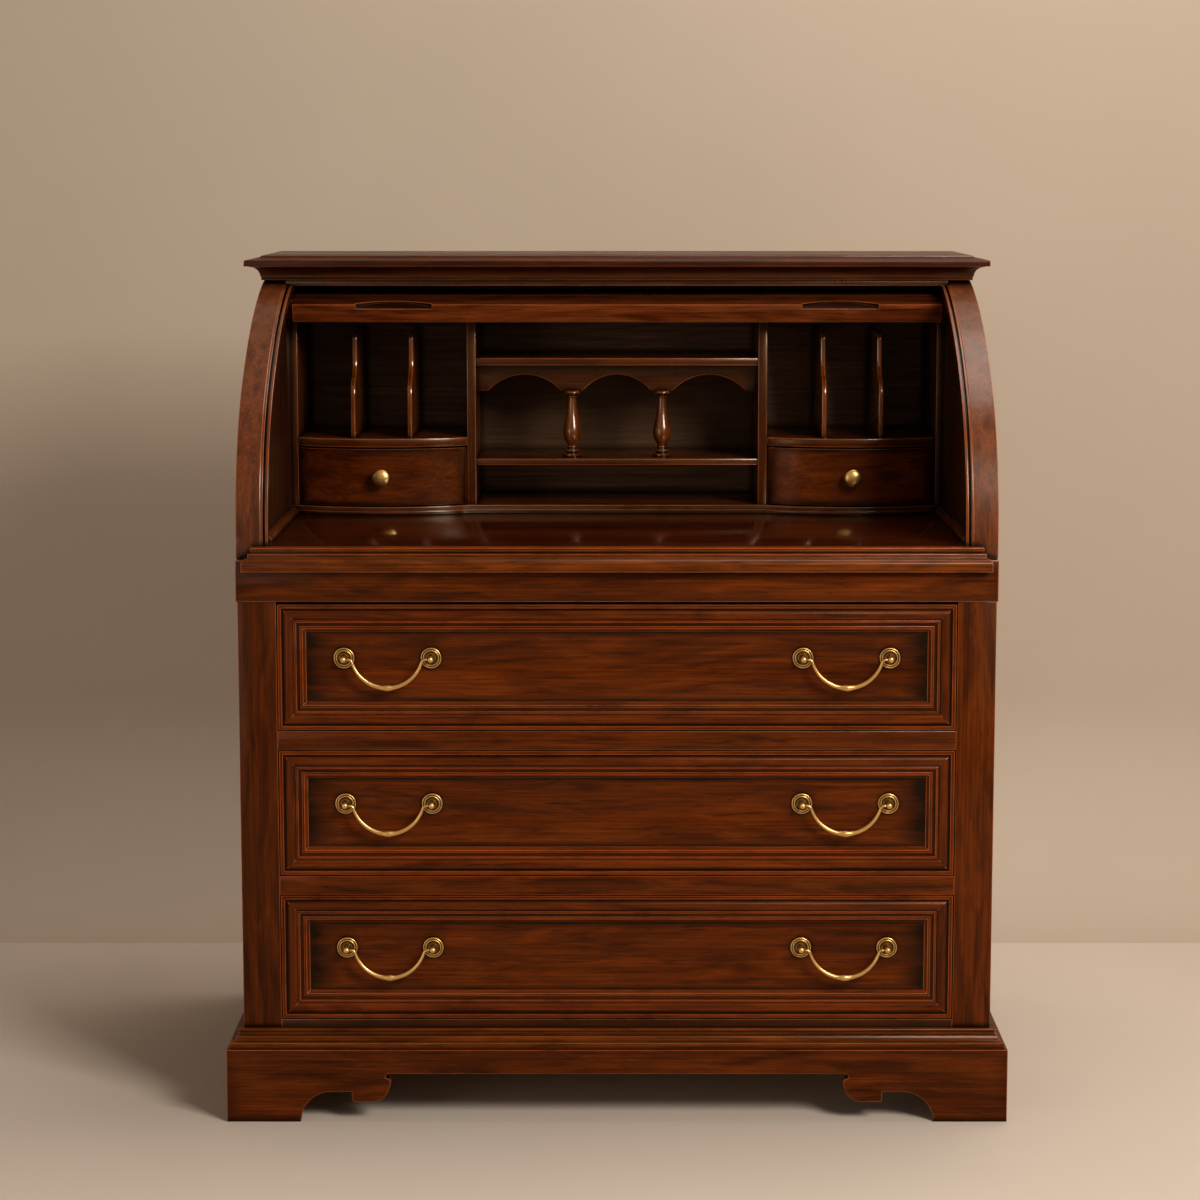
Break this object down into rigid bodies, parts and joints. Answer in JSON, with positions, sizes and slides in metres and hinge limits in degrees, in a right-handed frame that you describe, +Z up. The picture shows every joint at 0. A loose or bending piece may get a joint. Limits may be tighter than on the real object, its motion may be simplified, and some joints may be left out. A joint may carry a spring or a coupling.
{
  "type": "roll top desk",
  "caption": "Roll top secretary desk: chest of long drawers on a bracket base, curved cover that rolls down over a writing surface with pigeonholes and small drawers",
  "frame": {"origin": "on the floor, under the middle of the desk's bounding box", "axes": "+X to the sitter's right, +Y from the front to the back, +Z up"},
  "size_m": [1.0446, 0.6694, 1.1346],
  "materials": {
    "case_wood": "satin lacquer",
    "drawer_wood": "satin lacquer",
    "moulding_wood": "satin lacquer",
    "gallery_wood": "satin lacquer",
    "inner_wood": "thin sealer",
    "brass": "aged satin"
  },
  "bodies": {
    "case": {"case_side_left": "case_wood", "case_side_right": "case_wood", "case_stiles": "case_wood", "case_back": "inner_wood", "case_bottom": "inner_wood", "case_top": "inner_wood", "drawer_rails": "case_wood", "drawer_runners": "inner_wood", "frieze_front": "case_wood", "frieze_sides": "case_wood", "waist_moulding": "moulding_wood", "writing_surface": "case_wood", "surface_mouldings": "moulding_wood", "base_front": "case_wood", "base_side_left": "case_wood", "base_side_right": "case_wood", "base_back": "inner_wood", "base_moulding": "moulding_wood", "upper_side_left": "case_wood", "upper_side_right": "case_wood", "upper_back": "inner_wood", "cornice_top": "moulding_wood", "cornice_cove": "moulding_wood", "top_rail": "gallery_wood", "side_beads": "case_wood", "gallery_sides": "gallery_wood", "gallery_partitions": "gallery_wood", "gallery_back": "gallery_wood", "gallery_top": "gallery_wood", "gallery_base": "gallery_wood", "gallery_shelf_high": "gallery_wood", "gallery_shelf_low": "gallery_wood", "arch_valance": "gallery_wood", "colonnettes": "gallery_wood", "bow_shelves": "gallery_wood", "gallery_dividers": "gallery_wood"},
    "cover_front": {"cover_front_leaf": "case_wood", "lead_rail": "moulding_wood"},
    "cover_rear": {"cover_rear_leaf": "gallery_wood"},
    "top_drawer": {"top_drawer_front": "drawer_wood", "top_drawer_box": "inner_wood", "top_drawer_pull_posts": "brass"},
    "top_drawer_bail_left": {"top_drawer_bail_left": "brass"},
    "top_drawer_bail_right": {"top_drawer_bail_right": "brass"},
    "middle_drawer": {"middle_drawer_front": "drawer_wood", "middle_drawer_box": "inner_wood", "middle_drawer_pull_posts": "brass"},
    "middle_drawer_bail_left": {"middle_drawer_bail_left": "brass"},
    "middle_drawer_bail_right": {"middle_drawer_bail_right": "brass"},
    "bottom_drawer": {"bottom_drawer_front": "drawer_wood", "bottom_drawer_box": "inner_wood", "bottom_drawer_pull_posts": "brass"},
    "bottom_drawer_bail_left": {"bottom_drawer_bail_left": "brass"},
    "bottom_drawer_bail_right": {"bottom_drawer_bail_right": "brass"},
    "small_drawer_left": {"small_drawer_left_front": "drawer_wood", "small_drawer_left_box": "inner_wood", "small_drawer_left_knob": "brass"},
    "small_drawer_right": {"small_drawer_right_front": "drawer_wood", "small_drawer_right_box": "inner_wood", "small_drawer_right_knob": "brass"}
  },
  "joints": [
    {"name": "cover_roll", "type": "hinge", "parent": "case", "child": "cover_front", "pos_m": [0, 0.14975, 0.6743], "axis": [1, 0, 0], "range_deg": [0, 60.3]},
    {"name": "rear_leaf_roll", "type": "hinge", "parent": "case", "child": "cover_rear", "pos_m": [0, 0.14975, 0.6743], "axis": [1, 0, 0], "range_deg": [0, 28.8]},
    {"name": "top_drawer_slide", "type": "slide", "parent": "case", "child": "top_drawer", "axis": [0, -1, 0], "range_m": [0, 0.42]},
    {"name": "top_drawer_bail_left_swing", "type": "hinge", "parent": "top_drawer", "child": "top_drawer_bail_left", "pos_m": [-0.3011, -0.32215, 0.6193], "axis": [-1, 0, 0], "range_deg": [0, 85]},
    {"name": "top_drawer_bail_right_swing", "type": "hinge", "parent": "top_drawer", "child": "top_drawer_bail_right", "pos_m": [0.3011, -0.32215, 0.6193], "axis": [-1, 0, 0], "range_deg": [0, 85]},
    {"name": "middle_drawer_slide", "type": "slide", "parent": "case", "child": "middle_drawer", "axis": [0, -1, 0], "range_m": [0, 0.42]},
    {"name": "middle_drawer_bail_left_swing", "type": "hinge", "parent": "middle_drawer", "child": "middle_drawer_bail_left", "pos_m": [-0.3011, -0.32215, 0.4248], "axis": [-1, 0, 0], "range_deg": [0, 85]},
    {"name": "middle_drawer_bail_right_swing", "type": "hinge", "parent": "middle_drawer", "child": "middle_drawer_bail_right", "pos_m": [0.3011, -0.32215, 0.4248], "axis": [-1, 0, 0], "range_deg": [0, 85]},
    {"name": "bottom_drawer_slide", "type": "slide", "parent": "case", "child": "bottom_drawer", "axis": [0, -1, 0], "range_m": [0, 0.42]},
    {"name": "bottom_drawer_bail_left_swing", "type": "hinge", "parent": "bottom_drawer", "child": "bottom_drawer_bail_left", "pos_m": [-0.3011, -0.32215, 0.2303], "axis": [-1, 0, 0], "range_deg": [0, 85]},
    {"name": "bottom_drawer_bail_right_swing", "type": "hinge", "parent": "bottom_drawer", "child": "bottom_drawer_bail_right", "pos_m": [0.3011, -0.32215, 0.2303], "axis": [-1, 0, 0], "range_deg": [0, 85]},
    {"name": "small_drawer_left_slide", "type": "slide", "parent": "case", "child": "small_drawer_left", "axis": [0, -1, 0], "range_m": [0, 0.12]},
    {"name": "small_drawer_right_slide", "type": "slide", "parent": "case", "child": "small_drawer_right", "axis": [0, -1, 0], "range_m": [0, 0.12]}
  ],
  "couplings": [
    {"joint": "rear_leaf_roll", "follows": "cover_roll", "ratio": 0.4776}
  ]
}
